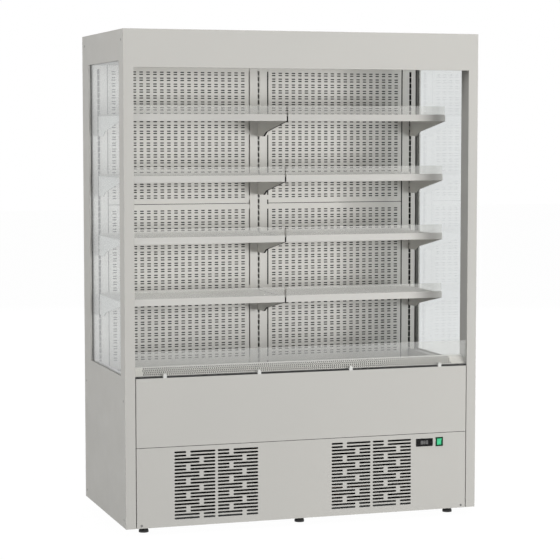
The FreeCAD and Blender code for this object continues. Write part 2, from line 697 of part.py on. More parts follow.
# ---- fans ---------------------------------------------------------------------------
def fan_frame(x, z, plate_y, side_dir, ring_r, motor_r, motor_len):
    # motor on three arms, its shaft end reaching through the fan opening
    near = plate_y + side_dir * 16
    y0 = min(near, near + side_dir * motor_len)
    parts = [cyl(motor_r, motor_len, (x, y0, z), (0, 1, 0))]
    tip = near - side_dir * 20
    parts.append(cyl(4.0, 20, (x, min(near, tip), z), (0, 1, 0)))
    arm_y0 = min(near + side_dir * 6, near + side_dir * 12)
    for a in (90, 210, 330):
        arm = box(motor_r - 2, ring_r + 8, arm_y0, arm_y0 + 6, -5, 5)
        leg = box(ring_r + 2, ring_r + 8, min(plate_y, arm_y0 + 3), max(plate_y, arm_y0 + 3), -5, 5)
        for p in (arm, leg):
            p.rotate(V(0, 0, 0), V(0, 1, 0), a)
            p.translate(V(x, 0, z))
            parts.append(p)
    return parts


def rotor(x, z, y_mid, side_dir, tip_r, hub_r, blades):
    hub = cyl(hub_r, 16, (x, y_mid - 8, z), (0, 1, 0))
    parts = [hub]
    for k in range(blades):
        blade = box(hub_r - 3, tip_r, -1.0, 1.0, -tip_r * 0.22, tip_r * 0.22)
        blade.rotate(V(0, 0, 0), V(1, 0, 0), 30)
        blade = blade.common(cyl(tip_r, 60, (0, -30, 0), (0, 1, 0)))
        blade.rotate(V(0, 0, 0), V(0, 1, 0), 360.0 / blades * k)
        blade.translate(V(x, y_mid, z))
        parts.append(blade)
    out = fuse(parts)
    bore_y = y_mid - 9 if side_dir > 0 else y_mid - 6
    return out.cut(cyl(4.0 + run_gap, 15, (x, bore_y + (3 if side_dir > 0 else -3), z), (0, 1, 0)))


evap_fan_x = 330.0
evap_fan_z = tub_floor + 78.0
evap_plate_y = front + 300.0
evap_ring_r = 70.0
evap_tip_r = 66.0
plate = box(-post_in, post_in, evap_plate_y, evap_plate_y + 2, tub_floor, ledge_top - 22)
for s in (-1, 1):
    plate = plate.cut(cyl(evap_ring_r, 4, (s * evap_fan_x, evap_plate_y - 1, evap_fan_z), (0, 1, 0)))
parts = [plate]
for s in (-1, 1):
    parts += fan_frame(s * evap_fan_x, evap_fan_z, evap_plate_y, -1, evap_ring_r, 26.0, 40.0)
save("evaporator_fan_mount", fuse(parts))
for s, name in ((-1, "left"), (1, "right")):
    save("evaporator_fan_rotor_" + name, rotor(s * evap_fan_x, evap_fan_z, evap_plate_y + 1, -1, evap_tip_r, 18.0, 5))

cond_fan_x = (cond_x0 + cond_x1) / 2
cond_fan_z = pan_z + 136.0
cond_plate_y = front + 112.0
cond_ring_r = 112.0
cond_tip_r = 107.0
plate = box(cond_x0 + 8, cond_x1 - 8, cond_plate_y, cond_plate_y + 2, pan_z, pan_z + 258)
plate = plate.cut(cyl(cond_ring_r, 4, (cond_fan_x, cond_plate_y - 1, cond_fan_z), (0, 1, 0)))
parts = [plate, box(cond_x0 + 8, cond_x0 + 10, front + 100, cond_plate_y, pan_z, pan_z + 258),
         box(cond_x1 - 10, cond_x1 - 8, front + 100, cond_plate_y, pan_z, pan_z + 258)]
parts += fan_frame(cond_fan_x, cond_fan_z, cond_plate_y + 2, 1, cond_ring_r, 34.0, 55.0)
save("condenser_fan_shroud", fuse(parts))
save("condenser_fan_rotor", rotor(cond_fan_x, cond_fan_z, cond_plate_y + 3, 1, cond_tip_r, 24.0, 5))

# ---- compressor, pipes, condensate tray ------------------------------------------------
comp_x = -40.0
comp_y = front + 410.0
comp_r = 80.0
comp_z = pan_z + 15.0
parts = [box(comp_x - 105, comp_x + 105, comp_y - 75, comp_y + 75, comp_z - 3, comp_z),
         cyl(comp_r, 140, (comp_x, comp_y, comp_z), (0, 0, 1))]
dome = Part.makeSphere(comp_r)
stretch = FreeCAD.Matrix()
stretch.scale(V(1, 1, 0.5))
dome = dome.transformGeometry(stretch)
dome.translate(V(comp_x, comp_y, comp_z + 140))
parts.append(dome)
parts.append(box(comp_x + comp_r - 8, comp_x + comp_r + 32, comp_y - 28, comp_y + 28, comp_z + 50, comp_z + 110))
for sx in (-1, 1):
    for sy in (-1, 1):
        parts.append(cyl(12, comp_z - pan_z, (comp_x + sx * 88, comp_y + sy * 58, pan_z), (0, 0, 1)))
save("compressor", fuse(parts))


def pipe(points, r):
    parts = []
    for a, b in zip(points[:-1], points[1:]):
        va = V(*a)
        vb = V(*b)
        parts.append(Part.makeCylinder(r, (vb - va).Length, va, vb - va))
    for p in points[1:-1]:
        parts.append(Part.makeSphere(r, V(*p)))
    return fuse(parts)


run_z = tub_bottom - 20.0
suction = pipe([(evap_x0, evap_y[2], evap_z[2]), (suction_x, pipe_y, evap_z[2]), (suction_x, pipe_y, run_z),
                (comp_x, pipe_y, run_z), (comp_x, pipe_y, comp_z + 90), (comp_x, comp_y + comp_r, comp_z + 90)], 7.0)
discharge = pipe([(comp_x - comp_r, comp_y, comp_z + 100), (comp_x - comp_r - 30, comp_y, comp_z + 100),
                  (comp_x - comp_r - 30, cond_y[1], comp_z + 100), (comp_x - comp_r - 30, cond_y[1], cond_z[7]),
                  (cond_x1, cond_y[1], cond_z[7])], 4.0)
inlet_y = pipe_y - 150.0
liquid = pipe([(cond_x1, cond_y[0], cond_z[0]), (160.0, cond_y[0], cond_z[0]), (160.0, front + 250, cond_z[0]),
               (liquid_x, front + 250, cond_z[0]), (liquid_x, inlet_y, cond_z[0]), (liquid_x, inlet_y, evap_z[0]),
               (evap_x1, evap_y[0], evap_z[0])], 4.0)
drier = cyl(12.0, 110, (-60, cond_y[0], cond_z[0]), (1, 0, 0))
save("refrigerant_pipes", [suction, discharge, liquid.fuse(drier)])

tray_x0 = 200.0
tray_x1 = 580.0
water_tray = box(tray_x0, tray_x1, front + 300, front + 560, pan_z, pan_z + 60)
water_tray = water_tray.cut(box(tray_x0 + 2, tray_x1 - 2, front + 302, front + 558, pan_z + 2, pan_z + 61))
save("condensate_tray", water_tray)

# ---- screws: sunk in the side walls, and two pan heads on the lower front sheet ------------
cross_w = 1.2                # arms of the cross recess in every head
cross_len = 5.0
cross_deep = 1.2
screws = []
for d, z in side_screws:
    head = cyl(screw_head, 2.0, (half - screw_sink, front + d, z), (1, 0, 0))
    x0 = half - screw_sink + 2.0 - cross_deep
    for w, h in ((cross_w, cross_len), (cross_len, cross_w)):
        head = head.cut(box(x0, half, front + d - w / 2, front + d + w / 2, z - h / 2, z + h / 2))
    screw = head.fuse(cyl(2.5, 5.5, (half - 8, front + d, z), (1, 0, 0))).removeSplitter()
    screws += [screw, mirror_x(screw)]
for s in (-1, 1):
    head = cyl(4.5, 1.8, (s * tab_x, front - 1.8, screw_z), (0, 1, 0))
    x0 = s * tab_x
    for w, h in ((cross_w, cross_len), (cross_len, cross_w)):
        head = head.cut(box(x0 - w / 2, x0 + w / 2, front - 2.0, front - 1.8 + cross_deep,
                            screw_z - h / 2, screw_z + h / 2))
    screws.append(head.fuse(cyl(2.0, 10, (s * tab_x, front, screw_z), (0, 1, 0))).removeSplitter())
save("screws", screws)
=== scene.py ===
# Open multideck display fridge: how it looks. Metres, +Z up, the shopper stands on the -Y side.
import bpy
import bmesh
import math
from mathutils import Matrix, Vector


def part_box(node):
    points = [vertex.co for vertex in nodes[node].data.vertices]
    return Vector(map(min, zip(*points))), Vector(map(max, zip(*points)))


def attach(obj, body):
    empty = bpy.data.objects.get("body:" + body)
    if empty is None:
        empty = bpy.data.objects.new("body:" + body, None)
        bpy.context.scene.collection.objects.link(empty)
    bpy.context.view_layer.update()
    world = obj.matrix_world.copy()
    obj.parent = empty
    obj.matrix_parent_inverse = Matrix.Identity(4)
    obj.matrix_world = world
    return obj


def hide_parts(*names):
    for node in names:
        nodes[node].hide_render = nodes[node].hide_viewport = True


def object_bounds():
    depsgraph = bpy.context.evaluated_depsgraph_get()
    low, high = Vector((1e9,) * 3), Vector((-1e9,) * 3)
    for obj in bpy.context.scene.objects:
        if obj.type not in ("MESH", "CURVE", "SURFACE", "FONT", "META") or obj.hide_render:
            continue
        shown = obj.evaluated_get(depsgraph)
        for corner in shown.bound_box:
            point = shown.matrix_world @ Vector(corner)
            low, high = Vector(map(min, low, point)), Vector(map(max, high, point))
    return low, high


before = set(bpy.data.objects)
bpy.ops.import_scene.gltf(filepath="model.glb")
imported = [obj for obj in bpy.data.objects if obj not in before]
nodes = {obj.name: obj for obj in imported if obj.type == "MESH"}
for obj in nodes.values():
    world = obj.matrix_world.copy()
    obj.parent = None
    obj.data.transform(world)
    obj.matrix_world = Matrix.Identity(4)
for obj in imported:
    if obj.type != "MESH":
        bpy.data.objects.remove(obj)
cad_low, cad_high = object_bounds()

# ---- Base frame ----------------------------------------------------------------------------------
# Square tubes and a floor pan of hot-dip galvanised steel, welded up under the machine space. The
# zinc has frozen in flat crystals a few millimetres wide, each a slightly different grey. Its tone is
# painted far darker than bare zinc, as painted shade in the machine space seen through the slots.
zinc_painted_shade_light = (0.17, 0.175, 0.18, 1)
zinc_painted_shade_dark = (0.10, 0.105, 0.11, 1)
zinc_crystals = 160.0            # per metre
zinc_gloss = (90.0, 0.38, 0.55)  # patches per metre, then the least and the most roughness
zinc_grain = (500.0, 0.00004)    # bumps per metre, then their depth
noise_low = 0.3                  # the part of the noise texture's range that is spread out
noise_high = 0.7


def blank_finish(name, roughness=0.5):
    finish = bpy.data.materials.new(name)
    finish.use_nodes = True
    shader = finish.node_tree.nodes["Principled BSDF"]
    shader.inputs["Roughness"].default_value = roughness
    return finish, finish.node_tree, shader


def cloudy(tree, scale, low, high, detail=3.0):
    # soft unevenness through the piece, as a number between low and high
    place = tree.nodes.new("ShaderNodeTexCoord")
    noise = tree.nodes.new("ShaderNodeTexNoise")
    spread = tree.nodes.new("ShaderNodeMapRange")
    noise.inputs["Scale"].default_value = scale
    noise.inputs["Detail"].default_value = detail
    spread.inputs["From Min"].default_value = noise_low
    spread.inputs["From Max"].default_value = noise_high
    spread.inputs["To Min"].default_value = low
    spread.inputs["To Max"].default_value = high
    tree.links.new(place.outputs["Object"], noise.inputs["Vector"])
    tree.links.new(noise.outputs["Fac"], spread.inputs["Value"])
    return spread.outputs["Result"]


def between(tree, amount, first, second):
    ramp = tree.nodes.new("ShaderNodeValToRGB")
    ramp.color_ramp.elements[0].color = first
    ramp.color_ramp.elements[1].color = second
    tree.links.new(amount, ramp.inputs["Fac"])
    return ramp.outputs["Color"]


def skin(tree, shader, scale, depth, detail=2.0):
    # fine relief of that depth in metres
    bump = tree.nodes.new("ShaderNodeBump")
    bump.inputs["Distance"].default_value = depth
    tree.links.new(cloudy(tree, scale, 0, 1, detail), bump.inputs["Height"])
    tree.links.new(bump.outputs["Normal"], shader.inputs["Normal"])


def zinc_with_painted_shade_coat():
    finish, tree, shader = blank_finish("zinc_with_painted_shade_coat")
    shader.inputs["Metallic"].default_value = 1.0
    place = tree.nodes.new("ShaderNodeTexCoord")
    crystals = tree.nodes.new("ShaderNodeTexVoronoi")
    crystals.inputs["Scale"].default_value = zinc_crystals
    tree.links.new(place.outputs["Object"], crystals.inputs["Vector"])
    grey = tree.nodes.new("ShaderNodeRGBToBW")
    tree.links.new(crystals.outputs["Color"], grey.inputs["Color"])
    tree.links.new(between(tree, grey.outputs["Val"], zinc_painted_shade_dark, zinc_painted_shade_light), shader.inputs["Base Color"])
    tree.links.new(cloudy(tree, *zinc_gloss), shader.inputs["Roughness"])
    skin(tree, shader, *zinc_grain)
    return finish


def dress(node, finish):
    slots = nodes[node].data.materials
    slots.clear()
    slots.append(finish)


zinc_with_painted_shade = zinc_with_painted_shade_coat()
dress("base_frame", zinc_with_painted_shade)

# ---- Levelling feet ------------------------------------------------------------------------------
# Six black nylon cup feet, each moulded round a threaded stud that screws up into a tube of the
# base frame.
nylon_black = (0.012, 0.012, 0.012, 1)
nylon_scuffed = (0.03, 0.03, 0.03, 1)
plastic_patches = 30.0           # per metre
plastic_grain = 1400.0           # per metre


def patchy_finish(name, first, second, patches, gloss, grain, detail=3.0, shine=0.5, metallic=0.0):
    # two close colours in soft patches; gloss and grain are as in zinc_gloss and zinc_grain
    finish, tree, shader = blank_finish(name)
    shader.inputs["Specular IOR Level"].default_value = shine
    shader.inputs["Metallic"].default_value = metallic
    patch = cloudy(tree, patches, 0, 1, detail)
    tree.links.new(between(tree, patch, first, second), shader.inputs["Base Color"])
    tree.links.new(cloudy(tree, *gloss), shader.inputs["Roughness"])
    skin(tree, shader, *grain)
    return finish


def moulded_plastic(name, first, second, roughness, relief, shine=0.5):
    gloss = (60.0, roughness - 0.05, roughness + 0.08)
    return patchy_finish(name, first, second, plastic_patches, gloss, (plastic_grain, relief), shine=shine)


foot_nylon = moulded_plastic("foot_nylon", nylon_black, nylon_scuffed, 0.5, 0.00003)
for row in ("front", "rear"):
    for place in ("left", "middle", "right"):
        dress("foot_" + row + "_" + place, foot_nylon)

# ---- Side walls ----------------------------------------------------------------------------------
# Each side is one foamed wall in powder-coated steel: a flat sheet with the window cut in it, and
# the front post turned in at its edge. The posts' inner faces take a darker grey, painted shade, and
# the wall's inner face a lighter grey, painted light.
coat_light = (0.545, 0.535, 0.505, 1)
coat_shade = (0.525, 0.517, 0.490, 1)
# painted light: a lighter grey for the inside of the cabinet
painted_light_inner_high = (0.775, 0.762, 0.727, 1)
painted_light_inner_low = (0.750, 0.738, 0.704, 1)
# painted shade on the posts' inner faces
post_painted_shade_light = (0.45, 0.445, 0.425, 1)
post_painted_shade_dark = (0.41, 0.405, 0.39, 1)
# painted shade: near black where shade falls inside
painted_shade_black_light = (0.022, 0.022, 0.022, 1)
painted_shade_black_dark = (0.014, 0.014, 0.014, 1)
coat_patches = 1.3               # per metre
coat_detail = 5.0
coat_gloss = (14.0, 0.48, 0.6)
coat_grain = (420.0, 0.00002)
coat_shine = 0.2
post_depth = 0.075
plate_proud = 0.0005             # the controller's plate, in front of the front face
front_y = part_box("lower_front_panel")[0].y + plate_proud
post_inner_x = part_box("header_fascia")[1].x
wall_inner_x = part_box("rear_wall")[1].x
same_plane = 0.001
square_on = 0.9                  # how far a face's normal points along an axis


def powder_coat(name, light, shade):
    return patchy_finish(name, shade, light, coat_patches, coat_gloss, coat_grain, coat_detail, coat_shine)


def paint(node, finish, chosen):
    # a further finish, on the faces of a node that chosen picks
    mesh = nodes[node].data
    mesh.materials.append(finish)
    for face in mesh.polygons:
        if chosen(face):
            face.material_index = len(mesh.materials) - 1


def across(face, x):
    # the face looks across the fridge, at that distance from its middle
    return abs(abs(face.center.x) - x) < same_plane and abs(face.normal.x) > square_on


def inside_post(face):
    return across(face, post_inner_x) and face.center.y < front_y + post_depth


def inside_wall(face):
    return across(face, wall_inner_x)


warm_grey = powder_coat("warm_grey_coat", coat_light, coat_shade)
painted_light_inner_coat = powder_coat("painted_light_inner_grey_coat", painted_light_inner_high, painted_light_inner_low)
painted_shade_black = powder_coat("painted_shade_black_coat", painted_shade_black_light, painted_shade_black_dark)
post_painted_shade = powder_coat("post_painted_shade_coat", post_painted_shade_light, post_painted_shade_dark)
for side in ("left", "right"):
    dress("side_panel_" + side, warm_grey)
    paint("side_panel_" + side, post_painted_shade, inside_post)
    paint("side_panel_" + side, painted_light_inner_coat, inside_wall)

# ---- Side windows --------------------------------------------------------------------------------
# A toughened pane behind the opening of each side wall. It is clear with a faint cold tint, mirrors
# the shelves at a slant, and lets the shop's light through. A faint pale veil on it is painted reflection.
pane_tint = (0.955, 0.968, 0.970, 1)
# painted reflection: the pale veil on the side panes
side_pane_painted_reflection = (0.76, 0.78, 0.785, 1)
glass_index = 1.5
painted_reflection_roughness = 0.6
mirror_roughness = 0.02
painted_reflection_patches = 5.0               # per metre
painted_reflection_edge = 0.004                # half the height over which the painted reflection sets in
painted_reflection_below = 0.25                # share of the painted reflection below that height


def clear_pane(name, tint, painted_reflection_tone, reflection_low, reflection_high, index, painted_reflection_from=None):
    # glass seen as a tinted view through it, a mirror at a slant, and a thin pale veil of painted
    # reflection, which can be weaker below a height of the pane
    finish, tree, shader = blank_finish(name, painted_reflection_roughness)
    shader.inputs["Base Color"].default_value = painted_reflection_tone
    shader.inputs["Specular IOR Level"].default_value = 0.0
    through = tree.nodes.new("ShaderNodeBsdfTransparent")
    through.inputs["Color"].default_value = tint
    mirror = tree.nodes.new("ShaderNodeBsdfGlossy")
    mirror.inputs["Roughness"].default_value = mirror_roughness
    with_reflection = tree.nodes.new("ShaderNodeMixShader")
    whole = tree.nodes.new("ShaderNodeMixShader")
    slant = tree.nodes.new("ShaderNodeFresnel")
    facing = tree.nodes.new("ShaderNodeNewGeometry")
    way_out = tree.nodes.new("ShaderNodeMapRange")
    way_out.inputs["To Min"].default_value = index
    way_out.inputs["To Max"].default_value = 1 / index
    tree.links.new(facing.outputs["Backfacing"], way_out.inputs["Value"])
    tree.links.new(way_out.outputs["Result"], slant.inputs["IOR"])
    reflection_amount = cloudy(tree, painted_reflection_patches, reflection_low, reflection_high)
    if painted_reflection_from is not None:
        place = tree.nodes.new("ShaderNodeTexCoord")
        split = tree.nodes.new("ShaderNodeSeparateXYZ")
        rise = tree.nodes.new("ShaderNodeMapRange")
        less = tree.nodes.new("ShaderNodeMath")
        less.operation = "MULTIPLY"
        rise.inputs["From Min"].default_value = painted_reflection_from - painted_reflection_edge
        rise.inputs["From Max"].default_value = painted_reflection_from + painted_reflection_edge
        rise.inputs["To Min"].default_value = painted_reflection_below
        tree.links.new(place.outputs["Object"], split.inputs["Vector"])
        tree.links.new(split.outputs["Z"], rise.inputs["Value"])
        tree.links.new(rise.outputs["Result"], less.inputs[0])
        tree.links.new(reflection_amount, less.inputs[1])
        reflection_amount = less.outputs[0]
    tree.links.new(reflection_amount, with_reflection.inputs[0])
    tree.links.new(through.outputs[0], with_reflection.inputs[1])
    tree.links.new(shader.outputs[0], with_reflection.inputs[2])
    tree.links.new(slant.outputs[0], whole.inputs[0])
    tree.links.new(with_reflection.outputs[0], whole.inputs[1])
    tree.links.new(mirror.outputs[0], whole.inputs[2])
    tree.links.new(whole.outputs[0], tree.nodes["Material Output"].inputs["Surface"])
    return finish


dress("side_glass", clear_pane("side_pane_glass", pane_tint, side_pane_painted_reflection, 0.03, 0.06, glass_index))

# ---- Rear wall, roof and tub ---------------------------------------------------------------------
# Foam-filled boxes in the same powder-coated steel: the rear wall with warm-air slots near the
# floor, the flat roof, and the tub that holds the evaporator under the deck. The tub's inside and
# the rear wall's face in the cold-air duct are painted black as shade, apart from a strip of the warm
# grey behind the middle upright.
strip_half = 0.037


def duct_coat():
    # painted shade: black, with the strip in the warm grey
    finish = powder_coat("duct_painted_shade_coat", painted_shade_black_light, painted_shade_black_dark)
    tree = finish.node_tree
    shader = tree.nodes["Principled BSDF"]
    place = tree.nodes.new("ShaderNodeTexCoord")
    split = tree.nodes.new("ShaderNodeSeparateXYZ")
    aside = tree.nodes.new("ShaderNodeMath")
    aside.operation = "ABSOLUTE"
    beyond = tree.nodes.new("ShaderNodeMath")
    beyond.operation = "GREATER_THAN"
    beyond.inputs[1].default_value = strip_half
    tone = tree.nodes.new("ShaderNodeMixRGB")
    tone.inputs["Color1"].default_value = coat_light
    tree.links.new(place.outputs["Object"], split.inputs["Vector"])
    tree.links.new(split.outputs["X"], aside.inputs[0])
    tree.links.new(aside.outputs[0], beyond.inputs[0])
    tree.links.new(beyond.outputs[0], tone.inputs["Fac"])
    tree.links.new(shader.inputs["Base Color"].links[0].from_socket, tone.inputs["Color2"])
    tree.links.new(tone.outputs["Color"], shader.inputs["Base Color"])
    return finish


def faces_front(face):
    return face.normal.y < -square_on


def between_posts(face):
    return abs(face.center.x) < post_inner_x - same_plane


for node in ("rear_wall", "roof_panel", "insulated_tub"):
    dress(node, warm_grey)
paint("rear_wall", duct_coat(), faces_front)
paint("insulated_tub", painted_shade_black, between_posts)

# ---- Shelf uprights ------------------------------------------------------------------------------
# Three folded steel channels, punched with a column of slots that the shelf brackets hook into, in
# the lighter inner grey, which is painted light. Behind their front sheets the two outer ones are
# painted black as shade.
channel_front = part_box("shelf_uprights")[0].y
outer_from = 0.1                 # the middle upright lies nearer to the middle than that


def inside_outer_channel(face):
    return face.center.y > channel_front + same_plane / 2 and abs(face.center.x) > outer_from


dress("shelf_uprights", painted_light_inner_coat)
paint("shelf_uprights", painted_shade_black, inside_outer_channel)

# ---- Perforated back panels ----------------------------------------------------------------------
# Thin steel sheets punched with pairs of short slots, which let the cold air into the shelves. Two
# courses meet in a dark seam above the second shelf from the bottom.
column_first = 0.070
column_pitch = 0.030
columns = 20
slot_width = 0.0165
slot_height = 0.0046
slot_nip = 0.0012                # how far a slot's corners are cut
pair_step = 0.0097
pair_pitch = 0.025
lower_course = (0.6316, 26)      # middle of the first pair, and number of pairs
upper_course = (1.3215, 22)
seam = 1.290
seam_half = 0.0012
sheet_inner = {-1: 0.0434, 1: 0.0455}
sheet_outer = 0.665
sheet_thick = 0.0012
backs_low, backs_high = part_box("perforated_back_panels")


def finished_piece(name, mesh):
    data = bpy.data.meshes.new(name)
    mesh.to_mesh(data)
    mesh.free()
    piece = bpy.data.objects.new(name, data)
    bpy.context.scene.collection.objects.link(piece)
    return piece


def middles(values, start, end):
    # the lines between neighbours, with the two ends
    return [start] + [(a + b) / 2 for a, b in zip(values, values[1:])] + [end]


def punched_sheet(name, side, bottom, top, first, pairs):
    # side is -1 or 1; each slot has eight corners, joined to the four of its cell of the sheet
    xs = [column_first + column_pitch * i for i in range(columns)]
    zs = [first + pair_pitch * k + pair_step * n for k in range(pairs) for n in (-0.5, 0.5)]
    x_lines = middles(xs, sheet_inner[side], sheet_outer)
    z_lines = middles(zs, bottom, top)
    mesh = bmesh.new()
    lattice = [[mesh.verts.new((side * x, backs_low.y, z)) for z in z_lines] for x in x_lines]
    w, h, n = slot_width / 2, slot_height / 2, slot_nip
    rim = [(w, -h + n), (w, h - n), (w - n, h), (-w + n, h),
           (-w, h - n), (-w, -h + n), (-w + n, -h), (w - n, -h)]
    for i, x in enumerate(xs):
        for k, z in enumerate(zs):
            edge = [mesh.verts.new((side * (x + dx), backs_low.y, z + dz)) for dx, dz in rim]
            corner = [lattice[i + 1][k], lattice[i + 1][k + 1], lattice[i][k + 1], lattice[i][k]]
            for c in range(4):
                mesh.faces.new((corner[c], corner[(c + 1) % 4], edge[(2 * c + 1) % 8], edge[2 * c]))
                mesh.faces.new((corner[(c + 1) % 4], edge[(2 * c + 2) % 8], edge[2 * c + 1]))
    bmesh.ops.recalc_face_normals(mesh, faces=mesh.faces)
    return finished_piece(name, mesh)


for side, side_name in ((-1, "left"), (1, "right")):
    for course, bottom, top, (first, pairs) in (
            ("lower", backs_low.z, seam - seam_half, lower_course),
            ("upper", seam + seam_half, backs_high.z, upper_course)):
        back = punched_sheet("back_panel_" + course + "_" + side_name, side, bottom, top, first, pairs)
        if back.data.polygons[0].normal.y > 0:
            back.data.flip_normals()
        thickness = back.modifiers.new("sheet", "SOLIDIFY")
        thickness.thickness = sheet_thick
        thickness.offset = -1
        # the lighter inner grey, painted light
        back.data.materials.append(painted_light_inner_coat)
        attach(back, "cabinet")
        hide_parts("perforated_back_panels")

# ---- Shelves, risers and brackets ----------------------------------------------------------------
# Four tiers of half-width steel trays with a plain front lip, each with a clear acrylic riser
# standing behind the lip, on plates that hook into the uprights. The trays' coat is lighter than the
# front's and the plates' lighter still, both painted light; the risers carry a pale veil of painted
# reflection. The two halves' facing ends and the plates' edges are painted black as shade.
# painted light: the trays' lighter coat
shelf_painted_light_high = (0.64, 0.63, 0.60, 1)
shelf_painted_light_low = (0.62, 0.61, 0.58, 1)
# painted light: the plates' much lighter coat
bracket_painted_light_high = (0.86, 0.845, 0.81, 1)
bracket_painted_light_low = (0.82, 0.805, 0.77, 1)
# painted shade: black on the facing ends and plate edges
edge_painted_shade_light = (0.03, 0.03, 0.03, 1)
edge_painted_shade_dark = (0.02, 0.02, 0.02, 1)
riser_tint = (0.985, 0.985, 0.975, 1)
# painted reflection: the pale veil on the risers
riser_painted_reflection = (0.94, 0.935, 0.91, 1)
acrylic_index = 1.49
shelf_end = 0.0035               # the shelves' facing ends lie nearer to the middle than that
pair_inner = 0.0020              # and so do the facing sides of the two middle brackets
pair_outer = 0.0045              # and those two brackets as a whole
facing_down = -0.3
face_on = 0.5                    # a plate's edge turns less than that to the side


def shelf_middle_end(face):
    return abs(face.center.x) < shelf_end and abs(face.normal.x) > square_on


def bracket_edge_painted_shade(face):
    in_gap = abs(face.center.x) < pair_inner
    on_edge = abs(face.center.x) < pair_outer and abs(face.normal.x) < face_on
    return in_gap or on_edge or face.normal.z < facing_down


shelf_painted_light_coat = powder_coat("shelf_painted_light_coat", shelf_painted_light_high, shelf_painted_light_low)
edge_painted_shade = powder_coat("bracket_edge_painted_shade", edge_painted_shade_light, edge_painted_shade_dark)
bracket_painted_light_coat = powder_coat("bracket_painted_light_coat", bracket_painted_light_high, bracket_painted_light_low)
acrylic = clear_pane("riser_acrylic", riser_tint, riser_painted_reflection, 0.14, 0.18, acrylic_index)
for side in ("left", "right"):
    for tier in (1, 2, 3, 4):
        tag = side + "_" + str(tier)
        dress("shelf_" + tag, shelf_painted_light_coat)
        paint("shelf_" + tag, edge_painted_shade, shelf_middle_end)
        dress("shelf_riser_" + tag, acrylic)
dress("shelf_brackets", bracket_painted_light_coat)
paint("shelf_brackets", edge_painted_shade, bracket_edge_painted_shade)

# ---- Deck trays and return-air grille ------------------------------------------------------------
# Two coated trays, glossier and darker than the rest, close the tub and carry the bottom goods. In
# front of them the return-air grille takes the falling air back through rows of fine slots.
tray_light = (0.23, 0.227, 0.215, 1)
tray_shade = (0.19, 0.188, 0.178, 1)
tray_patches = 1.5               # per metre
tray_gloss = (9.0, 0.16, 0.24)
tray_grain = (300.0, 0.00001)
upright_face = 0.95


def grille_hidden_side(face):
    return face.normal.z < facing_down or abs(face.normal.y) > upright_face


dress("deck_trays", patchy_finish("deck_gloss_coat", tray_shade, tray_light, tray_patches, tray_gloss,
                                  tray_grain, coat_detail))
# the grille in the lighter inner grey, painted light
dress("return_air_grille", painted_light_inner_coat)
# its undersides and the faces square to the front are painted black as shade
paint("return_air_grille", painted_shade_black, grille_hidden_side)

# ---- Front glass and clips -----------------------------------------------------------------------
# A low pane of clear glass stands in a black rubber strip behind the front edge, held in four small
# pale clips. The pale veil of painted reflection on it is weaker below the ridge of the grille.
# painted reflection: the pale veil on the front pane
front_pane_painted_reflection = (0.70, 0.705, 0.695, 1)
ridge = 0.667
clip_half = 0.007
clip_margin = 0.0001
clip_middles = (-0.588, -0.196, 0.196, 0.588)
clip_light = (0.72, 0.72, 0.70, 1)
clip_shade = (0.62, 0.62, 0.60, 1)
rubber_light = (0.018, 0.018, 0.018, 1)
rubber_shade = (0.010, 0.010, 0.010, 1)


def rubber_part(face):
    return all(abs(face.center.x - middle) > clip_half + clip_margin for middle in clip_middles)


clip_pale = moulded_plastic("clip_polycarbonate", clip_shade, clip_light, 0.25, 0.00001)
strip_rubber = moulded_plastic("strip_rubber", rubber_shade, rubber_light, 0.6, 0.00002)
dress("front_glass", clear_pane("front_pane_glass", riser_tint, front_pane_painted_reflection, 0.15, 0.19, glass_index, ridge))
dress("glass_clips", clip_pale)
paint("glass_clips", strip_rubber, rubber_part)

# ---- Front sheets --------------------------------------------------------------------------------
# Three folded sheets close the front: the plain header, the skirt of the tub, and the service panel
# with its two fields of air slots, hung on two screws. The joint between those two is painted black as
# shade.
panel_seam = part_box("lower_front_panel")[1].z
seam_reach = 0.003


def in_panel_seam(face):
    return abs(face.normal.z) > square_on and abs(face.center.z - panel_seam) < seam_reach


dress("header_fascia", warm_grey)
for node in ("mid_front_panel", "lower_front_panel"):
    dress(node, warm_grey)
    paint(node, painted_shade_black, in_panel_seam)

# ---- Canopy --------------------------------------------------------------------------------------
# Under the roof: the coated liner, the black honeycomb that the cold-air curtain falls from, and a
# long lamp in a white frosted tube behind the header.
honeycomb_shade = (0.02, 0.02, 0.02, 1)
honeycomb_light = (0.035, 0.035, 0.035, 1)
lamp_shade = (0.80, 0.80, 0.78, 1)
lamp_light = (0.86, 0.86, 0.85, 1)
dress("canopy_liner", warm_grey)
honeycomb = moulded_plastic("honeycomb_plastic", honeycomb_shade, honeycomb_light, 0.4, 0.00002)
dress("air_outlet_grille", honeycomb)
dress("canopy_lamp", moulded_plastic("lamp_tube", lamp_shade, lamp_light, 0.3, 0.00001))

# ---- Controller ----------------------------------------------------------------------------------
# A snap-in thermostat: black fascia with a dark grey display window, two small keys on the left and
# one on the right. The display shows three plain seven-bar figures.
fascia_shade = (0.006, 0.006, 0.006, 1)
fascia_light = (0.012, 0.012, 0.012, 1)
key_shade = (0.015, 0.015, 0.016, 1)
key_light = (0.025, 0.025, 0.026, 1)
window_shade = (0.012, 0.012, 0.013, 1)
window_light = (0.022, 0.022, 0.023, 1)
figure_shade = (0.26, 0.26, 0.26, 1)
figure_light = (0.34, 0.34, 0.33, 1)
figure_wide = 0.008
figure_tall = 0.013
figure_stroke = 0.0016
figure_step = 0.0115
window_low, window_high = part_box("controller_window")
window_mid = (window_low + window_high) / 2


def lit(u, v):
    # a figure is three bars across and two bars up each side
    low_or_high = abs(abs(v) - (figure_tall - figure_stroke) / 2) < figure_stroke / 2
    across_bar = low_or_high or abs(v) < figure_stroke / 2
    up_bar = abs(abs(u) - (figure_wide - figure_stroke) / 2) < figure_stroke / 2
    inside = abs(u) < figure_wide / 2 and abs(v) < figure_tall / 2
    return inside and (across_bar or up_bar)


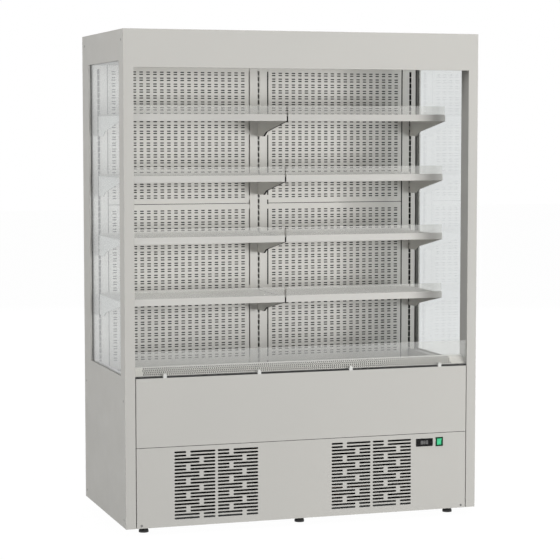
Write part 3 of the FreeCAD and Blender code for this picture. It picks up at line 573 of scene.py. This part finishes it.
def display_pane():
    # a thin block, cut along the edges of the figures' bars so that they take their own finish
    figures = [window_mid.x + figure_step * n for n in (-1, 0, 1)]
    bar_x = (figure_wide / 2, figure_wide / 2 - figure_stroke)
    bar_z = (figure_tall / 2, figure_tall / 2 - figure_stroke, figure_stroke / 2)
    x_marks = [x + s * e for x in figures for e in bar_x for s in (-1, 1)]
    z_marks = [window_mid.z + s * e for e in bar_z for s in (-1, 1)]
    xs = [window_low.x] + sorted(x_marks) + [window_high.x]
    zs = [window_low.z] + sorted(z_marks) + [window_high.z]
    mesh = bmesh.new()
    front = [[mesh.verts.new((x, window_low.y, z)) for z in zs] for x in xs]
    rear = [[mesh.verts.new((x, window_high.y, z)) for z in zs] for x in xs]
    for i in range(len(xs) - 1):
        for k in range(len(zs) - 1):
            cell = mesh.faces.new((front[i][k], front[i + 1][k], front[i + 1][k + 1], front[i][k + 1]))
            u = (xs[i] + xs[i + 1]) / 2
            v = (zs[k] + zs[k + 1]) / 2 - window_mid.z
            if any(lit(u - x, v) for x in figures):
                cell.material_index = 1
            mesh.faces.new((rear[i][k], rear[i][k + 1], rear[i + 1][k + 1], rear[i + 1][k]))
    for i in range(len(xs) - 1):
        mesh.faces.new((front[i][0], rear[i][0], rear[i + 1][0], front[i + 1][0]))
        mesh.faces.new((front[i][-1], front[i + 1][-1], rear[i + 1][-1], rear[i][-1]))
    for k in range(len(zs) - 1):
        mesh.faces.new((front[0][k], front[0][k + 1], rear[0][k + 1], rear[0][k]))
        mesh.faces.new((front[-1][k], rear[-1][k], rear[-1][k + 1], front[-1][k + 1]))
    return finished_piece("display_pane", mesh)


display = display_pane()
display.data.materials.append(
    moulded_plastic("display_window", window_shade, window_light, 0.3, 0.000005, 0.15))
display.data.materials.append(
    moulded_plastic("display_figures", figure_shade, figure_light, 0.4, 0.000005, 0.1))
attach(display, "cabinet")
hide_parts("controller_window")
dress("controller_housing", moulded_plastic("fascia_plastic", fascia_shade, fascia_light, 0.4, 0.00001, 0.1))
key_black = moulded_plastic("key_plastic", key_shade, key_light, 0.45, 0.00001, 0.1)
for key in ("up", "down", "set"):
    dress("controller_key_" + key, key_black)

# ---- Lamp switch ---------------------------------------------------------------------------------
# A green rocker that glows when the canopy lamp is on, in a very dark green snap-in frame.
glow_green = (0.06, 0.60, 0.28, 1)
rocker_green = (0.05, 0.52, 0.24, 1)
frame_shade = (0.002, 0.028, 0.010, 1)
frame_light = (0.003, 0.040, 0.014, 1)
glow = 0.12
rocker_lit = moulded_plastic("rocker_lit", rocker_green, glow_green, 0.25, 0.00001)
rocker_shader = rocker_lit.node_tree.nodes["Principled BSDF"]
rocker_shader.inputs["Emission Color"].default_value = glow_green
rocker_shader.inputs["Emission Strength"].default_value = glow
dress("switch_bezel", moulded_plastic("switch_frame", frame_shade, frame_light, 0.35, 0.00001, 0.15))
dress("switch_rocker", rocker_lit)

# ---- Cold side -----------------------------------------------------------------------------------
# The evaporator under the deck: aluminium fins pressed on copper tubes, and two fans on a zinc
# plate that push the air to the rear duct.
fin_shade = (0.50, 0.51, 0.52, 1)
fin_light = (0.66, 0.67, 0.68, 1)
fan_shade = (0.015, 0.015, 0.015, 1)
fan_light = (0.03, 0.03, 0.03, 1)
fin_metal = patchy_finish("fin_aluminium", fin_shade, fin_light, 12.0, (40.0, 0.28, 0.45), (300.0, 0.00003),
                          metallic=1.0)
fan_black = moulded_plastic("fan_plastic", fan_shade, fan_light, 0.45, 0.00003)
dress("evaporator_coil", fin_metal)
# the zinc finish, painted darker as shade
dress("evaporator_fan_mount", zinc_with_painted_shade)
dress("evaporator_fan_rotor_left", fan_black)
dress("evaporator_fan_rotor_right", fan_black)

# ---- Machine space -------------------------------------------------------------------------------
# Behind the service panel: the condenser with its fan and shroud, the black compressor on rubber
# feet, copper lines brazed between them, and the black tray where the melt water dries off.
copper_shade = (0.52, 0.22, 0.12, 1)
copper_light = (0.72, 0.36, 0.22, 1)
condenser_light = (0.020, 0.020, 0.020, 1)
condenser_shade = (0.012, 0.012, 0.012, 1)
compressor_light = (0.018, 0.018, 0.018, 1)
compressor_shade = (0.010, 0.010, 0.010, 1)
water_tray_shade = (0.02, 0.02, 0.02, 1)
water_tray_light = (0.03, 0.03, 0.03, 1)
dress("condenser_coil", powder_coat("condenser_enamel", condenser_light, condenser_shade))
# the zinc finish, painted darker as shade
dress("condenser_fan_shroud", zinc_with_painted_shade)
dress("condenser_fan_rotor", fan_black)
dress("compressor", powder_coat("compressor_enamel", compressor_light, compressor_shade))
dress("refrigerant_pipes", patchy_finish("copper_line", copper_shade, copper_light, 25.0, (70.0, 0.28, 0.5),
                                         (400.0, 0.00002), metallic=1.0))
water_tray = moulded_plastic("water_tray_plastic", water_tray_shade, water_tray_light, 0.5, 0.00003)
dress("condensate_tray", water_tray)

# ---- Screws --------------------------------------------------------------------------------------
# Zinc-plated pan heads with a cross recess: six sunk in each side wall and two on the service panel.
plated_shade = (0.20, 0.20, 0.20, 1)
plated_light = (0.30, 0.30, 0.29, 1)
dress("screws", patchy_finish("plated_steel", plated_shade, plated_light, 80.0, (200.0, 0.25, 0.45),
                              (900.0, 0.00001), metallic=1.0))

# ---- Floor, light and camera ---------------------------------------------------------------------
# A white studio floor that runs back out of sight, soft light from the front, above, the left and
# behind, and the viewpoint of the photograph.
floor_size = 60.0
floor_drop = 0.0005
paper_shade = (0.36, 0.36, 0.36, 1)
paper_light = (0.38, 0.38, 0.38, 1)
paper_glow = 1.09                # how bright the floor is where it is seen
paper_glow_share = 0.9           # the rest takes the shadows
white = (1, 1, 1, 1)
air_strength = 0.18


def seen_rays(tree):
    # 1 for what is looked at, mirrored or looked at through glass, and 0 for light on its way
    path = tree.nodes.new("ShaderNodeLightPath")
    seen = path.outputs["Is Camera Ray"]
    for kind in ("Is Glossy Ray", "Is Transmission Ray"):
        either = tree.nodes.new("ShaderNodeMath")
        either.operation = "MAXIMUM"
        tree.links.new(seen, either.inputs[0])
        tree.links.new(path.outputs[kind], either.inputs[1])
        seen = either.outputs[0]
    return seen


floor_mesh = bmesh.new()
bmesh.ops.create_grid(floor_mesh, x_segments=4, y_segments=4, size=floor_size / 2)
floor = finished_piece("studio_floor", floor_mesh)
floor.location.z = cad_low.z - floor_drop
paper, paper_tree, paper_shader = blank_finish("studio_paper", 0.9)
paper_shader.inputs["Specular IOR Level"].default_value = 0.0
paper_tone = between(paper_tree, cloudy(paper_tree, 2.0, 0, 1), paper_shade, paper_light)
paper_tree.links.new(paper_tone, paper_shader.inputs["Base Color"])
paper_white = paper_tree.nodes.new("ShaderNodeEmission")
paper_white.inputs["Strength"].default_value = paper_glow
paper_share = paper_tree.nodes.new("ShaderNodeMath")
paper_share.operation = "MULTIPLY"
paper_share.inputs[1].default_value = paper_glow_share
paper_mix = paper_tree.nodes.new("ShaderNodeMixShader")
paper_tree.links.new(seen_rays(paper_tree), paper_share.inputs[0])
paper_tree.links.new(paper_share.outputs[0], paper_mix.inputs[0])
paper_tree.links.new(paper_shader.outputs[0], paper_mix.inputs[1])
paper_tree.links.new(paper_white.outputs[0], paper_mix.inputs[2])
paper_tree.links.new(paper_mix.outputs[0], paper_tree.nodes["Material Output"].inputs["Surface"])
floor.data.materials.append(paper)

studio = bpy.data.worlds.new("studio")
bpy.context.scene.world = studio
studio.use_nodes = True
sky = studio.node_tree
air = sky.nodes["Background"]
air.inputs["Color"].default_value = white
air.inputs["Strength"].default_value = air_strength
white_air = sky.nodes.new("ShaderNodeBackground")
white_air.inputs["Color"].default_value = white
air_mix = sky.nodes.new("ShaderNodeMixShader")
sky.links.new(seen_rays(sky), air_mix.inputs[0])
sky.links.new(air.outputs[0], air_mix.inputs[1])
sky.links.new(white_air.outputs[0], air_mix.inputs[2])
sky.links.new(air_mix.outputs[0], sky.nodes["World Output"].inputs["Surface"])


def soft_box(name, place, aim, width, height, power):
    light = bpy.data.lights.new(name, "AREA")
    light.shape = "RECTANGLE"
    light.size = width
    light.size_y = height
    light.energy = power
    lamp = bpy.data.objects.new(name, light)
    lamp.visible_glossy = False
    bpy.context.scene.collection.objects.link(lamp)
    lamp.location = place
    lamp.rotation_euler = (Vector(aim) - Vector(place)).to_track_quat("-Z", "Y").to_euler()


front_aim = (0, 0, 1.1)
body_aim = (0, 0, 1.2)
soft_box("key_soft_box", (3.3, -7.5, 1.25), front_aim, 2.6, 2.4, 422.0)
soft_box("fill_soft_box", (-3.4, -7.8, 0.9), front_aim, 2.0, 2.0, 64.0)
soft_box("top_soft_box", (0.6, -1.9, 5.2), (0, 0.2, 1.2), 3.0, 1.6, 46.0)
soft_box("left_soft_box", (-6.2, -1.2, 3.0), body_aim, 3.4, 2.2, 185.0)
soft_box("rear_soft_box", (2.6, 8.0, 3.6), body_aim, 4.0, 3.0, 420.0)

lens = 122.1
film_width = 36.0
camera_place = (-2.4793, -7.6026, 1.6069)
camera_turn = 18.139             # degrees from straight ahead towards +X
camera_dip = 4.518               # degrees below the horizon
farthest = 200.0
view = bpy.data.cameras.new("viewpoint")
view.lens = lens
view.sensor_width = film_width
view.clip_end = farthest
camera = bpy.data.objects.new("viewpoint", view)
bpy.context.scene.collection.objects.link(camera)
camera.location = camera_place
camera.rotation_euler = (math.radians(90 - camera_dip), 0, math.radians(-camera_turn))
bpy.context.scene.camera = camera
bpy.context.scene.view_settings.view_transform = "Standard"
